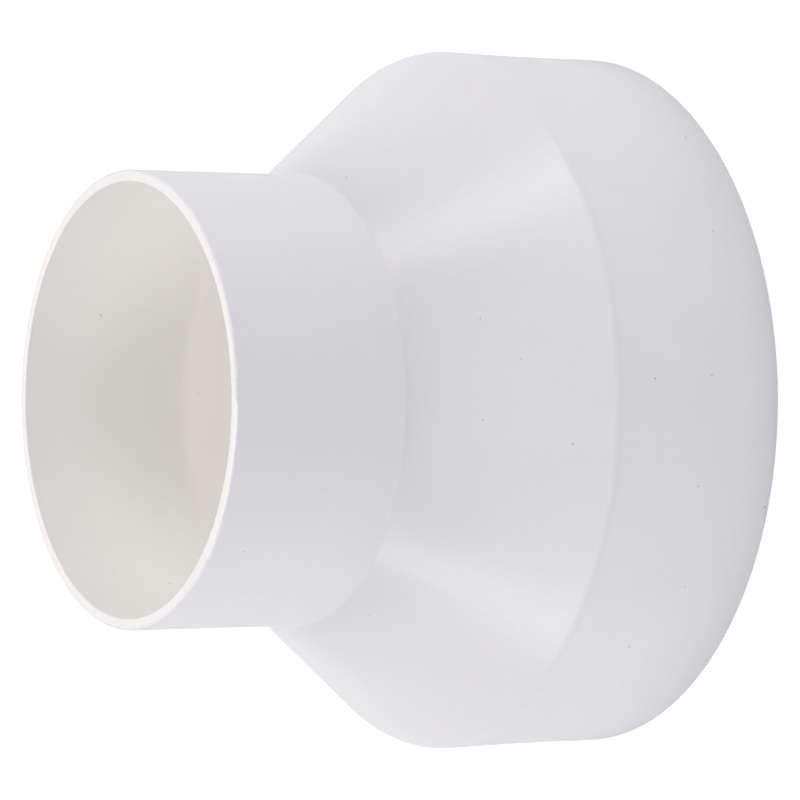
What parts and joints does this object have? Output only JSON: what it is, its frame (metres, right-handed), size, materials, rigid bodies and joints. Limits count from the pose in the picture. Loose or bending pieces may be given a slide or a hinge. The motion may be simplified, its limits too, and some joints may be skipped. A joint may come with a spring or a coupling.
{
  "type": "concentric pipe reducer",
  "caption": "White plastic concentric pipe reducer: small and large plain spigots joined by a cone, for changing pipe size in a drain or duct.",
  "frame": {"origin": "centre of the large spigot's rim, on the plane that the fitting stands on", "axes": "+Z along the pipe axis, from the large end to the small end; X and Y are alike"},
  "size_m": [0.2513, 0.2514, 0.1888],
  "materials": {
    "pvc_white": "satin moulded white PVC-U"
  },
  "bodies": {
    "root": {"small_spigot": "pvc_white", "transition_cone": "pvc_white", "large_spigot": "pvc_white"}
  },
  "joints": []
}
